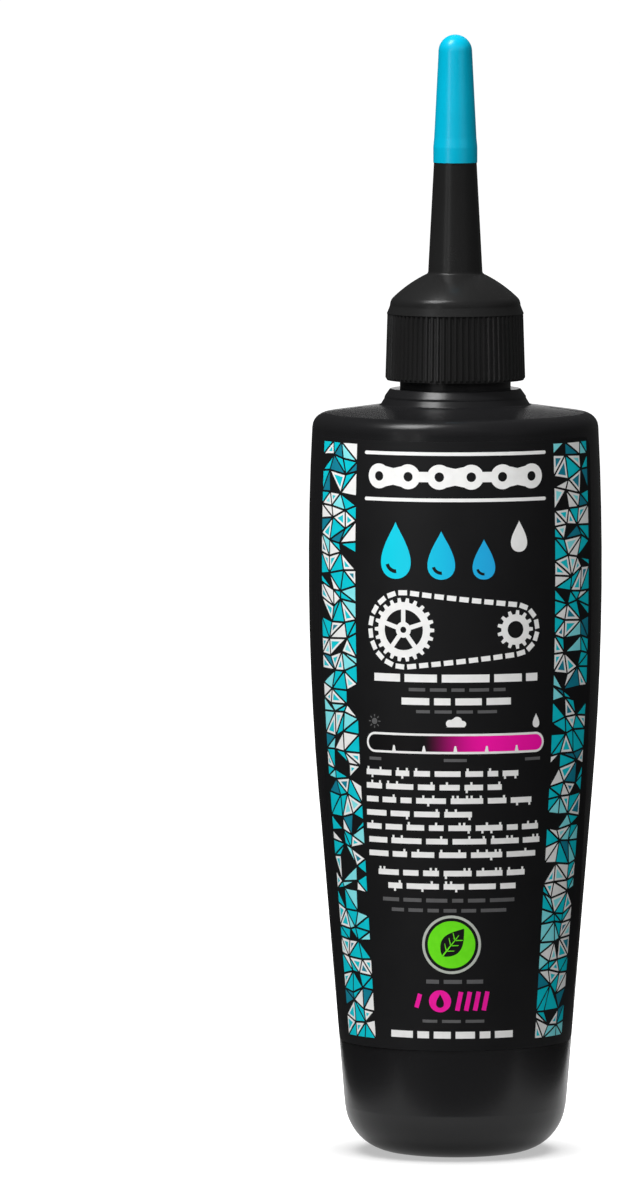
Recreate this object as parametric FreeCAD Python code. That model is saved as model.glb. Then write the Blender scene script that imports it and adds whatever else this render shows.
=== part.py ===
"""Squeeze bottle for chain lubricant, with a ribbed screw-on spout cap and a pull-off tip cover.

Millimetres, +Z up. The origin is the middle of the ring that the bottle stands on, and the front of
the label faces -Y. Every piece is turned about the Z axis from a half section of radius and height.
"""

import FreeCAD
import Part
import math
import os

# Bottle side wall: a drafted cone that runs into one long round over the belly
BELLY_RADIUS = 23.1
BELLY_HEIGHT = 93.0
BELLY_ROUND = 430.0
SIDE_DRAFT_DEG = 4.75
BODY_WALL = 1.0

# Bottle base: a flat standing ring round a shallow push-up, with the pinch-off scar of the blow mould
BASE_ROUND = 8.0
STANDING_RING_WIDTH = 2.8
PUSH_UP_HEIGHT = 1.8
PINCH_OFF_LENGTH = 10.0
PINCH_OFF_WIDTH = 0.9
PINCH_OFF_HEIGHT = 0.4

# Bottle shoulder and neck
BELLY_TO_SHOULDER = 21.9
SHOULDER_ROUND = 2.4
SHOULDER_SLOPE_DEG = 8.1
NECK_RADIUS = 8.75
NECK_WALL = 1.55
NECK_HEIGHT = 11.35
NECK_RIM_CHAMFER = 0.35

# Collar round the neck's foot: a sloping lip over a steep flank that flares out on to the shoulder
COLLAR_STEP = 1.55
COLLAR_EDGE_ROUND = 0.35
COLLAR_LIP_REACH = 0.87
COLLAR_LIP_HEIGHT = 1.22
COLLAR_LIP_ROUND = 0.4
COLLAR_FLANK_HEIGHT = 0.28
COLLAR_FLARE = 0.65
COLLAR_FLARE_HEIGHT = 1.05
COLLAR_FLARE_ROUND = 0.3
COLLAR_ROOT_ROUND = 0.5

# Label: a film stuck on the front of the side wall
LABEL_THICKNESS = 0.12
LABEL_WIDTH = 54.0
LABEL_BASE_MARGIN = 17.9
LABEL_SHOULDER_MARGIN = 1.0
LABEL_CORNER_ROUND = 2.5
LABEL_CORNER_OVERLAP = 0.05

# Sealing liner, clamped between the neck rim and the cap
LINER_THICKNESS = 1.0
LINER_CLEARANCE = 0.1

# Spout cap skirt with its grip ribs
SKIRT_GAP = 1.35
THREAD_ROOM = 1.1
SKIRT_WALL = 0.95
SKIRT_DRAFT_DEG = 1.8
SKIRT_MOUTH_CHAMFER = 0.3
RIB_COUNT = 72
RIB_HEIGHT = 0.25
RIB_ROOT_WIDTH = 0.66
RIB_CREST_WIDTH = 0.3
RIB_RUN_OUT = 0.4

# Spout cap top: bevel whose foot stands out over the ribs, steeper band, dome, and the chamber under it
CEILING_ABOVE_SKIRT = 0.85
BEVEL_OVER_RIBS = 0.08
BEVEL_HEIGHT = 1.25
BEVEL_INSET = 0.5
BAND_HEIGHT = 0.85
BAND_INSET = 0.08
BAND_FOOT_ROUND = 0.8
DOME_ROUND = 20.0
DOME_EDGE_ROUND = 1.6
DOME_EDGE_SLOPE_DEG = 46.0
DOME_WALL = 1.5
CHAMBER_RADIUS = 7.6

# Spout, and the thinner nozzle that leaves a step for the tip cover
SPOUT_ROOT_RADIUS = 4.3
SPOUT_STEP_RADIUS = 3.38
SPOUT_HEIGHT = 17.45
SPOUT_ROOT_ROUND = 0.5
SPOUT_BORE_RADIUS = 3.0
NOZZLE_ROOT_RADIUS = 2.85
NOZZLE_TIP_RADIUS = 1.6
NOZZLE_LENGTH = 18.0
NOZZLE_TIP_CHAMFER = 0.3
NOZZLE_BORE_RADIUS = 1.0
ORIFICE_RADIUS = 0.75
ORIFICE_LENGTH = 1.2

# Tip cover: a closed cone that slips over the nozzle
COVER_CLEARANCE = 0.12
COVER_END_GAP = 0.25
COVER_END_WALL = 1.9
COVER_RIM_RADIUS = 3.48
COVER_RIM_HEIGHT = 2.4
COVER_RIM_BLEND = 1.5
COVER_NECK_RADIUS = 3.34
COVER_END_RADIUS = 2.65

ORIGIN = FreeCAD.Vector(0, 0, 0)
UP = FreeCAD.Vector(0, 0, 1)
OUT = "parts"


def at(radius, height):
    """A point of the half section."""
    return FreeCAD.Vector(radius, 0, height)


def swing(centre, radius, degrees):
    """The point of the half section at that radius and angle round a centre, 0 pointing outwards."""
    angle = math.radians(degrees)
    return centre + at(radius * math.cos(angle), radius * math.sin(angle))


def bearing(centre, point):
    """Angle in degrees at which a point of the half section is seen from a centre."""
    return math.degrees(math.atan2(point.z - centre.z, point.x - centre.x))


def line(start, end):
    return Part.LineSegment(start, end).toShape()


def arc(centre, radius, start_deg, end_deg):
    """A round stretch of the half section, from one angle to the other."""
    middle_deg = (start_deg + end_deg) / 2
    points = [swing(centre, radius, angle) for angle in (start_deg, middle_deg, end_deg)]
    return Part.Arc(*points).toShape()


def outline(*corners):
    """Straight edges from corner to corner, where a corner given as (point, radius) is rounded."""
    corners = [corner if isinstance(corner, tuple) else (corner, 0) for corner in corners]
    edges = []
    last = corners[0][0]
    for (before, _), (corner, radius), (after, _) in zip(corners, corners[1:], corners[2:]):
        start = end = corner
        if radius:
            back = (before - corner).normalize()
            ahead = (after - corner).normalize()
            half_angle = back.getAngle(ahead) / 2
            reach = radius / math.tan(half_angle)
            start = corner + back * reach
            end = corner + ahead * reach
        edges.append(line(last, start))
        if radius:
            bisector = (back + ahead).normalize()
            middle = corner + bisector * (radius / math.sin(half_angle) - radius)
            edges.append(Part.Arc(start, middle, end).toShape())
        last = end
    edges.append(line(last, corners[-1][0]))
    return edges


def turned(edges, degrees=360):
    """The solid turned about the Z axis from a closed half section."""
    section = Part.Face(Part.Wire(Part.__sortEdges__(edges)))
    return section.revolve(ORIGIN, UP, degrees)


def eased(solid, radius, point):
    """The solid with the circular edge through a point of the half section rounded."""
    edges = [edge for edge in solid.Edges if abs(edge.distToShape(Part.Vertex(point))[0]) < 1e-6]
    circles = [edge for edge in edges if edge.BoundBox.ZLength < 1e-6]
    return solid.makeFillet(radius, circles)


# Bottle: centres, angles and heights that follow from the sizes above
SIDE_TAPER = math.tan(math.radians(SIDE_DRAFT_DEG))
BELLY_CENTRE = at(BELLY_RADIUS - BELLY_ROUND, BELLY_HEIGHT)
CONE_TOP = swing(BELLY_CENTRE, BELLY_ROUND, -SIDE_DRAFT_DEG)
FOOT_CONE_RADIUS = CONE_TOP.x - (CONE_TOP.z - BASE_ROUND) * SIDE_TAPER
RING_OUTER_RADIUS = FOOT_CONE_RADIUS - BASE_ROUND / math.cos(math.radians(SIDE_DRAFT_DEG))
RING_INNER_RADIUS = RING_OUTER_RADIUS - STANDING_RING_WIDTH
BASE_CENTRE = at(RING_OUTER_RADIUS, BASE_ROUND)
PUSH_UP_ROUND = (RING_INNER_RADIUS**2 + PUSH_UP_HEIGHT**2) / (2 * PUSH_UP_HEIGHT)
PUSH_UP_CENTRE = at(0, PUSH_UP_HEIGHT - PUSH_UP_ROUND)
SHOULDER_LEAN_DEG = math.degrees(math.asin(BELLY_TO_SHOULDER / BELLY_ROUND))
SHOULDER_HEIGHT = BELLY_HEIGHT + BELLY_TO_SHOULDER
SHOULDER_CENTRE = swing(BELLY_CENTRE, BELLY_ROUND - SHOULDER_ROUND, SHOULDER_LEAN_DEG)
SHOULDER_TURN_DEG = 90 - SHOULDER_SLOPE_DEG
SHOULDER_EDGE = swing(SHOULDER_CENTRE, SHOULDER_ROUND, SHOULDER_TURN_DEG)
SHOULDER_RISE = math.tan(math.radians(SHOULDER_SLOPE_DEG))
COLLAR_TOP_RADIUS = NECK_RADIUS + COLLAR_STEP
COLLAR_RADIUS = COLLAR_TOP_RADIUS + COLLAR_LIP_REACH
COLLAR_BASE_RADIUS = COLLAR_RADIUS + COLLAR_FLARE
COLLAR_BASE = SHOULDER_EDGE.z + (SHOULDER_EDGE.x - COLLAR_BASE_RADIUS) * SHOULDER_RISE
FLANK_FOOT = COLLAR_BASE + COLLAR_FLARE_HEIGHT
FLANK_TOP = FLANK_FOOT + COLLAR_FLANK_HEIGHT
COLLAR_TOP = FLANK_TOP + COLLAR_LIP_HEIGHT
NECK_BORE_RADIUS = NECK_RADIUS - NECK_WALL
NECK_TOP = COLLAR_TOP + NECK_HEIGHT

# Cap and tip cover: each follows from what it seats on
CEILING = NECK_TOP + LINER_THICKNESS
SKIRT_BOTTOM = COLLAR_TOP + SKIRT_GAP
SKIRT_TOP = CEILING - CEILING_ABOVE_SKIRT
SKIRT_INNER_RADIUS = NECK_RADIUS + THREAD_ROOM
SKIRT_FOOT_RADIUS = SKIRT_INNER_RADIUS + SKIRT_WALL
SKIRT_TOP_RADIUS = SKIRT_FOOT_RADIUS - (SKIRT_TOP - SKIRT_BOTTOM) * math.tan(math.radians(SKIRT_DRAFT_DEG))
BEVEL_LIP = RIB_HEIGHT + BEVEL_OVER_RIBS
BEVEL_FOOT = at(SKIRT_TOP_RADIUS + BEVEL_LIP, SKIRT_TOP + BEVEL_LIP)
BAND_FOOT = BEVEL_FOOT + at(-BEVEL_INSET, BEVEL_HEIGHT)
DOME_EDGE = BAND_FOOT + at(-BAND_INSET, BAND_HEIGHT)
DOME_CENTRE = swing(DOME_EDGE, -DOME_ROUND, 90 - DOME_EDGE_SLOPE_DEG)


def dome_point(radius, depth):
    """The point at that radius on the dome, or that far under its outside."""
    rise = math.sqrt((DOME_ROUND - depth) ** 2 - (radius - DOME_CENTRE.x) ** 2)
    return at(radius, DOME_CENTRE.z + rise)


SPOUT_ROOT = dome_point(SPOUT_ROOT_RADIUS, 0)
SPOUT_STEP = SPOUT_ROOT.z + SPOUT_HEIGHT
NOZZLE_TIP = SPOUT_STEP + NOZZLE_LENGTH
COVER_BORE_END = NOZZLE_TIP + COVER_END_GAP
COVER_TOP = COVER_BORE_END + COVER_END_WALL


def body_outline(inset):
    """Push-up, standing ring, base round, side wall and shoulder round, moved into the wall by inset."""
    push_up_round = PUSH_UP_ROUND + inset
    ring_edge = at(math.sqrt(push_up_round**2 - (inset - PUSH_UP_CENTRE.z) ** 2), inset)
    base_end = swing(BASE_CENTRE, BASE_ROUND - inset, -SIDE_DRAFT_DEG)
    cone_end = swing(BELLY_CENTRE, BELLY_ROUND - inset, -SIDE_DRAFT_DEG)
    return [
        arc(PUSH_UP_CENTRE, push_up_round, 90, bearing(PUSH_UP_CENTRE, ring_edge)),
        line(ring_edge, at(RING_OUTER_RADIUS, inset)),
        arc(BASE_CENTRE, BASE_ROUND - inset, -90, -SIDE_DRAFT_DEG),
        line(base_end, cone_end),
        arc(BELLY_CENTRE, BELLY_ROUND - inset, -SIDE_DRAFT_DEG, SHOULDER_LEAN_DEG),
        arc(SHOULDER_CENTRE, SHOULDER_ROUND - inset, SHOULDER_LEAN_DEG, SHOULDER_TURN_DEG),
    ]


def pinch_off():
    """The raised scar across the push-up, where the mould halves closed on the soft tube."""
    corner = FreeCAD.Vector(-PINCH_OFF_LENGTH / 2, -PINCH_OFF_WIDTH / 2, 0)
    bar = Part.makeBox(PINCH_OFF_LENGTH, PINCH_OFF_WIDTH, PUSH_UP_HEIGHT + BODY_WALL, corner)
    rooted = Part.makeSphere(PUSH_UP_ROUND + BODY_WALL / 2, PUSH_UP_CENTRE)
    hollow = Part.makeSphere(PUSH_UP_ROUND - PINCH_OFF_HEIGHT, PUSH_UP_CENTRE)
    return bar.common(rooted).cut(hollow)


def bottle():
    """The hollow bottle, open at its neck."""
    inner_edge = swing(SHOULDER_CENTRE, SHOULDER_ROUND - BODY_WALL, SHOULDER_TURN_DEG)
    bore_foot = at(NECK_BORE_RADIUS, inner_edge.z + (inner_edge.x - NECK_BORE_RADIUS) * SHOULDER_RISE)
    neck = outline(
        SHOULDER_EDGE,
        (at(COLLAR_BASE_RADIUS, COLLAR_BASE), COLLAR_ROOT_ROUND),
        (at(COLLAR_RADIUS, FLANK_FOOT), COLLAR_FLARE_ROUND),
        (at(COLLAR_RADIUS, FLANK_TOP), COLLAR_LIP_ROUND),
        (at(COLLAR_TOP_RADIUS, COLLAR_TOP), COLLAR_EDGE_ROUND),
        at(NECK_RADIUS, COLLAR_TOP),
        at(NECK_RADIUS, NECK_TOP - NECK_RIM_CHAMFER),
        at(NECK_RADIUS - NECK_RIM_CHAMFER, NECK_TOP),
        at(NECK_BORE_RADIUS + NECK_RIM_CHAMFER, NECK_TOP),
        at(NECK_BORE_RADIUS, NECK_TOP - NECK_RIM_CHAMFER),
        bore_foot,
        inner_edge,
    )
    floor = line(at(0, PUSH_UP_HEIGHT), at(0, PUSH_UP_HEIGHT + BODY_WALL))
    shell = turned(body_outline(0) + neck + body_outline(BODY_WALL) + [floor])
    return shell.fuse(pinch_off()).removeSplitter()


def side_point(inset, height):
    """The point of the side wall at a height, moved into the wall by inset."""
    cone_top = swing(BELLY_CENTRE, BELLY_ROUND - inset, -SIDE_DRAFT_DEG)
    if height < cone_top.z:
        return at(cone_top.x - (cone_top.z - height) * SIDE_TAPER, height)
    reach = math.sqrt((BELLY_ROUND - inset) ** 2 - (height - BELLY_HEIGHT) ** 2)
    return at(BELLY_CENTRE.x + reach, height)


def label_side(height, side):
    """The point where the label's left (-1) or right (+1) edge meets the side wall at a height."""
    radius = side_point(0, height).x
    angle = LABEL_WIDTH / 2 / radius
    return FreeCAD.Vector(side * radius * math.sin(angle), -radius * math.cos(angle), height)


def beyond_label_side(bottom, top, side):
    """The space on the far side of the label's left or right edge."""
    low = label_side(bottom, side)
    middle = label_side((bottom + top) / 2, side)
    along = label_side(top, side) - low
    away = along.cross(middle - low).normalize() * side
    across = away.cross(along)
    near = middle - across
    far = middle + across
    sheet = Part.makePolygon([near - along, near + along, far + along, far - along], True)
    return Part.Face(sheet).extrude(away * LABEL_WIDTH)


def beyond_label_corner(height, inner_height, side):
    """What a rounded corner leaves off the label: a kite round the sharp corner, less a disc."""
    corner = label_side(height, side)
    along = (label_side(inner_height, side) - corner).normalize()
    across = FreeCAD.Vector(corner.y, -corner.x, 0).normalize() * side
    half_angle = along.getAngle(across) / 2
    from_edges = LABEL_CORNER_ROUND - LABEL_CORNER_OVERLAP
    centre = corner + (along + across) * (from_edges / math.sin(2 * half_angle))
    tangent = from_edges / math.tan(half_angle)
    tips = (corner + across * tangent, corner, corner + along * tangent)
    kite = Part.makePolygon([centre] + [centre + (tip - centre) * 2 for tip in tips], True)
    depth = along.cross(across).normalize() * LABEL_CORNER_ROUND
    block = Part.Face(kite).extrude(depth * 2)
    block.translate(-depth)
    return block.cut(Part.makeCylinder(LABEL_CORNER_ROUND, depth.Length * 2, centre - depth, depth))


def label():
    """The film on the front of the side wall, as wide at its foot as at its top, with rounded corners."""
    bottom = LABEL_BASE_MARGIN
    top = SHOULDER_HEIGHT - LABEL_SHOULDER_MARGIN
    edges = []
    for inset in (0, -LABEL_THICKNESS):
        cone_top = swing(BELLY_CENTRE, BELLY_ROUND - inset, -SIDE_DRAFT_DEG)
        lean_deg = bearing(BELLY_CENTRE, side_point(inset, top))
        edges.append(line(side_point(inset, bottom), cone_top))
        edges.append(arc(BELLY_CENTRE, BELLY_ROUND - inset, -SIDE_DRAFT_DEG, lean_deg))
    for height in (bottom, top):
        edges.append(line(side_point(0, height), side_point(-LABEL_THICKNESS, height)))
    film = turned(edges, 180)
    film.rotate(ORIGIN, UP, 180)
    for side in (-1, 1):
        film = film.cut(beyond_label_side(bottom, top, side))
        film = film.cut(beyond_label_corner(bottom, bottom + LABEL_CORNER_ROUND, side))
        film = film.cut(beyond_label_corner(top, top - LABEL_CORNER_ROUND, side))
    return film.Solids[0]


def cap_liner():
    """The foam washer that seals the cap on the neck rim."""
    outer = SKIRT_INNER_RADIUS - LINER_CLEARANCE
    corners = [
        at(NECK_BORE_RADIUS, NECK_TOP),
        at(outer, NECK_TOP),
        at(outer, CEILING),
        at(NECK_BORE_RADIUS, CEILING),
    ]
    return turned(outline(*corners, corners[0]))


def grip_rib():
    """One rib of the skirt on the +X side: a ridge that runs out at its foot and ends under the bevel."""
    foot = at(SKIRT_FOOT_RADIUS, SKIRT_BOTTOM)
    along = (at(SKIRT_TOP_RADIUS, SKIRT_TOP) - foot).normalize()
    outwards = FreeCAD.Vector(along.z, 0, -along.x)
    length = (BEVEL_FOOT.z - BEVEL_OVER_RIBS / 2 - SKIRT_BOTTOM) / along.z

    def rectangle(height, width, run_out):
        side = FreeCAD.Vector(0, width / 2, 0)
        low = foot + outwards * height + along * run_out
        high = foot + outwards * height + along * length
        return Part.makePolygon([low - side, low + side, high + side, high - side], True)

    sunk = RIB_HEIGHT / 4
    flare = (RIB_ROOT_WIDTH - RIB_CREST_WIDTH) / RIB_HEIGHT
    root = rectangle(-sunk, RIB_ROOT_WIDTH + flare * sunk, 0)
    crest = rectangle(RIB_HEIGHT, RIB_CREST_WIDTH, RIB_RUN_OUT)
    return Part.makeLoft([root, crest], True, True)


def spout_cap():
    """The screw cap with its dome, spout and nozzle, bored through to the orifice."""
    bore_foot = dome_point(SPOUT_BORE_RADIUS, DOME_WALL)
    chamber_edge = dome_point(CHAMBER_RADIUS, DOME_WALL)
    mouth = at(SKIRT_INNER_RADIUS + SKIRT_MOUTH_CHAMFER, SKIRT_BOTTOM)
    skirt = outline(
        mouth,
        at(SKIRT_FOOT_RADIUS, SKIRT_BOTTOM),
        at(SKIRT_TOP_RADIUS, SKIRT_TOP),
        BEVEL_FOOT,
        (BAND_FOOT, BAND_FOOT_ROUND),
        DOME_EDGE,
    )
    spout = outline(
        SPOUT_ROOT,
        at(SPOUT_STEP_RADIUS, SPOUT_STEP),
        at(NOZZLE_ROOT_RADIUS, SPOUT_STEP),
        at(NOZZLE_TIP_RADIUS, NOZZLE_TIP - NOZZLE_TIP_CHAMFER),
        at(NOZZLE_TIP_RADIUS - NOZZLE_TIP_CHAMFER, NOZZLE_TIP),
        at(ORIFICE_RADIUS, NOZZLE_TIP),
        at(ORIFICE_RADIUS, NOZZLE_TIP - ORIFICE_LENGTH),
        at(NOZZLE_BORE_RADIUS, NOZZLE_TIP - ORIFICE_LENGTH),
        bore_foot,
    )
    inside = outline(
        chamber_edge,
        at(CHAMBER_RADIUS, CEILING),
        at(SKIRT_INNER_RADIUS, CEILING),
        at(SKIRT_INNER_RADIUS, SKIRT_BOTTOM + SKIRT_MOUTH_CHAMFER),
        mouth,
    )
    dome = [
        arc(DOME_CENTRE, DOME_ROUND, bearing(DOME_CENTRE, DOME_EDGE), bearing(DOME_CENTRE, SPOUT_ROOT)),
        arc(
            DOME_CENTRE,
            DOME_ROUND - DOME_WALL,
            bearing(DOME_CENTRE, bore_foot),
            bearing(DOME_CENTRE, chamber_edge),
        ),
    ]
    cap = turned(skirt + dome + spout + inside)
    cap = eased(cap, DOME_EDGE_ROUND, DOME_EDGE)
    cap = eased(cap, SPOUT_ROOT_ROUND, SPOUT_ROOT)
    rib = grip_rib()
    ribs = []
    for index in range(RIB_COUNT):
        copy = rib.copy()
        copy.rotate(ORIGIN, UP, 360 * index / RIB_COUNT)
        ribs.append(copy)
    return cap.fuse(ribs).removeSplitter()


def tip_cover():
    """The closed cone over the nozzle, with a round end and a slightly wider rim."""
    end_centre = at(0, COVER_TOP - COVER_END_RADIUS)
    rim_blend_top = SPOUT_STEP + COVER_RIM_HEIGHT + COVER_RIM_BLEND
    lean_deg = math.degrees(math.atan2(COVER_NECK_RADIUS - COVER_END_RADIUS, end_centre.z - rim_blend_top))
    mouth = at(NOZZLE_ROOT_RADIUS + COVER_CLEARANCE, SPOUT_STEP)
    outside = outline(
        mouth,
        at(COVER_RIM_RADIUS, SPOUT_STEP),
        at(COVER_RIM_RADIUS, SPOUT_STEP + COVER_RIM_HEIGHT),
        at(COVER_NECK_RADIUS, rim_blend_top),
        swing(end_centre, COVER_END_RADIUS, lean_deg),
    )
    bore = outline(
        at(0, COVER_TOP),
        at(0, COVER_BORE_END),
        at(NOZZLE_TIP_RADIUS + COVER_CLEARANCE, COVER_BORE_END),
        mouth,
    )
    return turned(outside + [arc(end_centre, COVER_END_RADIUS, lean_deg, 90)] + bore)


PIECES = {
    "bottle": bottle,
    "label": label,
    "cap_liner": cap_liner,
    "spout_cap": spout_cap,
    "tip_cover": tip_cover,
}

os.makedirs(OUT, exist_ok=True)
for name, make in PIECES.items():
    solid = make()
    print(f"{name}: {len(solid.Solids)} solid, valid {solid.isValid()}, {solid.Volume / 1000:.2f} cm3")
    solid.exportStep(os.path.join(OUT, name + ".step"))
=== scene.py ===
"""Squeeze bottle of chain lubricant: a moulded black bottle with a printed film on its front,
a black spout cap and a cyan tip cover."""
import math
import random

import bmesh
import bpy
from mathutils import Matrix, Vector
from mathutils.bvhtree import BVHTree
from mathutils.geometry import tessellate_polygon


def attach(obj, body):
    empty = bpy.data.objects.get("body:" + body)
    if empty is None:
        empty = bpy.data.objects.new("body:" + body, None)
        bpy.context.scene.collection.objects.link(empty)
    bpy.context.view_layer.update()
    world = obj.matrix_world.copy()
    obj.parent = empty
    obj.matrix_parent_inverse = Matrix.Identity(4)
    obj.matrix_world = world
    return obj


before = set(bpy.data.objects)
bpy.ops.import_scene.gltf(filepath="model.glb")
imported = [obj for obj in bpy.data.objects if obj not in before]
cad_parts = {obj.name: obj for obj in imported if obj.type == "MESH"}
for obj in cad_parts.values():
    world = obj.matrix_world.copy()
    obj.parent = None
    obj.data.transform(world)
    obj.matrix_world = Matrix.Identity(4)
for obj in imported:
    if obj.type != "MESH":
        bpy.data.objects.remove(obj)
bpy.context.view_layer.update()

# Bottle: one piece of black polyethylene, blown in a two-part mould whose faces were blasted to a satin.
# It looks a very dark grey, a little lighter than the label's film, and is cloudy where it was stretched.

MM = 0.001


def linear(red, green, blue):
    """A colour written as it looks on screen, 0 to 255, as the light values a shader takes."""
    light = []
    for value in (red, green, blue):
        share = value / 255
        light.append(share / 12.92 if share <= 0.04045 else ((share + 0.055) / 1.055) ** 2.4)
    return (*light, 1.0)


def moulded_plastic(name, dark, pale, cloud_size, gloss_range, shine, grain_size, grain_depth,
                    cloud_detail=4, grain_strength=0.6):
    """Plastic with cloudy colour, uneven gloss and the fine grain that its mould left on it."""
    material = bpy.data.materials.new(name)
    material.use_nodes = True
    nodes = material.node_tree.nodes
    links = material.node_tree.links
    shader = nodes["Principled BSDF"]
    shader.inputs["Specular IOR Level"].default_value = shine
    place = nodes.new("ShaderNodeTexCoord")
    clouds = nodes.new("ShaderNodeTexNoise")
    clouds.inputs["Scale"].default_value = 1 / cloud_size
    clouds.inputs["Detail"].default_value = cloud_detail
    links.new(place.outputs["Object"], clouds.inputs["Vector"])
    tint = nodes.new("ShaderNodeMix")
    tint.data_type = "RGBA"
    tint.inputs["A"].default_value = dark
    tint.inputs["B"].default_value = pale
    links.new(clouds.outputs["Fac"], tint.inputs["Factor"])
    links.new(tint.outputs["Result"], shader.inputs["Base Color"])
    gloss = nodes.new("ShaderNodeMapRange")
    gloss.inputs["To Min"].default_value = gloss_range[0]
    gloss.inputs["To Max"].default_value = gloss_range[1]
    links.new(clouds.outputs["Fac"], gloss.inputs["Value"])
    links.new(gloss.outputs["Result"], shader.inputs["Roughness"])
    grain = nodes.new("ShaderNodeTexNoise")
    grain.inputs["Scale"].default_value = 1 / grain_size
    links.new(place.outputs["Object"], grain.inputs["Vector"])
    relief = nodes.new("ShaderNodeBump")
    relief.inputs["Strength"].default_value = grain_strength
    relief.inputs["Distance"].default_value = grain_depth
    links.new(grain.outputs["Fac"], relief.inputs["Height"])
    links.new(relief.outputs["Normal"], shader.inputs["Normal"])
    return material


def dress(node, material):
    """Give a CAD node its finish."""
    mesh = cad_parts[node].data
    mesh.materials.clear()
    mesh.materials.append(material)


bottle_black = moulded_plastic(
    "bottle_satin_black",
    dark=linear(21, 21, 22),
    pale=linear(27, 27, 28),
    cloud_size=14 * MM,
    gloss_range=(0.2, 0.26),
    shine=0.45,
    grain_size=0.35 * MM,
    grain_depth=0.008 * MM,
)
dress("bottle", bottle_black)

# Mould seam: the fine flash that the blow mould's two halves left down each side of the bottle.
# It is part of the same plastic, a few hundredths of a millimetre high, and runs clear of the label's edges.

SEAM_HALF_WIDTH = 0.2 * MM
SEAM_CREST_SHARE = 0.3
SEAM_HEIGHT = 0.05 * MM
SEAM_SUNK = 0.12 * MM
SEAM_END_SUNK = 0.06 * MM
SEAM_CENTRE = Vector((0, 0, 70 * MM))
SEAM_FIRST_DEG = -77.0
SEAM_LAST_DEG = 75.5
SEAM_STEPS = 300
SEAM_FADE_STEPS = 6
LOFT_SHARP_DEG = 50


def surface_of(node):
    """A node's mesh as a tree that rays can be cast on."""
    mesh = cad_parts[node].data
    points = [vertex.co for vertex in mesh.vertices]
    return BVHTree.FromPolygons(points, [face.vertices for face in mesh.polygons])


def add_piece(name, mesh, material):
    """Put a mesh that moves with the bottle into the scene, with its finish."""
    mesh.materials.append(material)
    piece = bpy.data.objects.new(name, mesh)
    bpy.context.scene.collection.objects.link(piece)
    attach(piece, "bottle")
    return piece


def loft(name, sections):
    """A closed mesh through like sections, smooth along its run, with flat ends."""
    count = len(sections[0])
    points = [point for section in sections for point in section]
    faces = [tuple(reversed(range(count)))]
    for row in range(len(sections) - 1):
        for i in range(count):
            j = (i + 1) % count
            faces.append((row * count + i, row * count + j, (row + 1) * count + j, (row + 1) * count + i))
    faces.append(tuple(range(len(points) - count, len(points))))
    mesh = bpy.data.meshes.new(name)
    mesh.from_pydata(points, [], faces)
    skin = bmesh.new()
    skin.from_mesh(mesh)
    bmesh.ops.recalc_face_normals(skin, faces=skin.faces[:])
    skin.to_mesh(mesh)
    skin.free()
    mesh.shade_smooth()
    mesh.set_sharp_from_angle(angle=math.radians(LOFT_SHARP_DEG))
    return mesh


bottle_surface = surface_of("bottle")
for side, seam_name in ((-1, "mould_seam_left"), (1, "mould_seam_right")):
    seam_sections = []
    for step in range(SEAM_STEPS + 1):
        turn = math.radians(SEAM_FIRST_DEG + (SEAM_LAST_DEG - SEAM_FIRST_DEG) * step / SEAM_STEPS)
        out = Vector((side * math.cos(turn), 0, math.sin(turn)))
        hit, normal, _, _ = bottle_surface.ray_cast(SEAM_CENTRE + out, -out)
        normal.y = 0
        normal.normalize()
        fade = min(1.0, step / SEAM_FADE_STEPS, (SEAM_STEPS - step) / SEAM_FADE_STEPS)
        foot = Vector((0, SEAM_HALF_WIDTH, 0))
        edge = foot * SEAM_CREST_SHARE
        root = hit - normal * SEAM_SUNK
        crest = hit + normal * (SEAM_HEIGHT * fade - SEAM_END_SUNK * (1 - fade))
        seam_sections.append([root - foot, crest - edge, crest + edge, root + foot])
    add_piece(seam_name, loft(seam_name, seam_sections), bottle_black)

# Neck thread: one and a half turns of raised thread, blown with the neck in the same plastic.
# Its ends run out into the neck's wall, and it shows when the cap is unscrewed.

THREAD_PITCH = 3.175
THREAD_TURNS = 1.5
THREAD_START = 124.6
THREAD_START_DEG = 200
THREAD_NECK_RADIUS = 8.75
THREAD_HEIGHT = 0.8
THREAD_SUNK = 0.12
THREAD_ROOT_HALF = 0.85
THREAD_CREST_HALF = 0.35
THREAD_EDGE_DROP = 0.08
THREAD_EDGE_INSET = 0.06
THREAD_STEPS = 144
THREAD_RUN_OUT = 14

thread_sections = []
for step in range(THREAD_STEPS + 1):
    share = step / THREAD_STEPS
    turn = 2 * math.pi * THREAD_TURNS * share + math.radians(THREAD_START_DEG)
    height = THREAD_START + THREAD_PITCH * THREAD_TURNS * share
    rise = min(1.0, (step + 0.5) / THREAD_RUN_OUT, (THREAD_STEPS - step + 0.5) / THREAD_RUN_OUT)
    root = THREAD_NECK_RADIUS - THREAD_SUNK
    crest = THREAD_NECK_RADIUS + THREAD_HEIGHT * math.sin(rise * math.pi / 2)
    corners = (
        (root, -THREAD_ROOT_HALF),
        (crest - THREAD_EDGE_DROP, -THREAD_CREST_HALF - THREAD_EDGE_DROP),
        (crest, -THREAD_CREST_HALF + THREAD_EDGE_INSET),
        (crest, THREAD_CREST_HALF - THREAD_EDGE_INSET),
        (crest - THREAD_EDGE_DROP, THREAD_CREST_HALF + THREAD_EDGE_DROP),
        (root, THREAD_ROOT_HALF),
    )
    thread_sections.append([
        Vector((radius * math.cos(turn), radius * math.sin(turn), height + up)) * MM
        for radius, up in corners
    ])
add_piece("neck_thread", loft("neck_thread", thread_sections), bottle_black)

# Label: a matt black film stuck on the front of the bottle, die cut from a roll with its corners rounded.
# The bottle's back is left bare.

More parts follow.
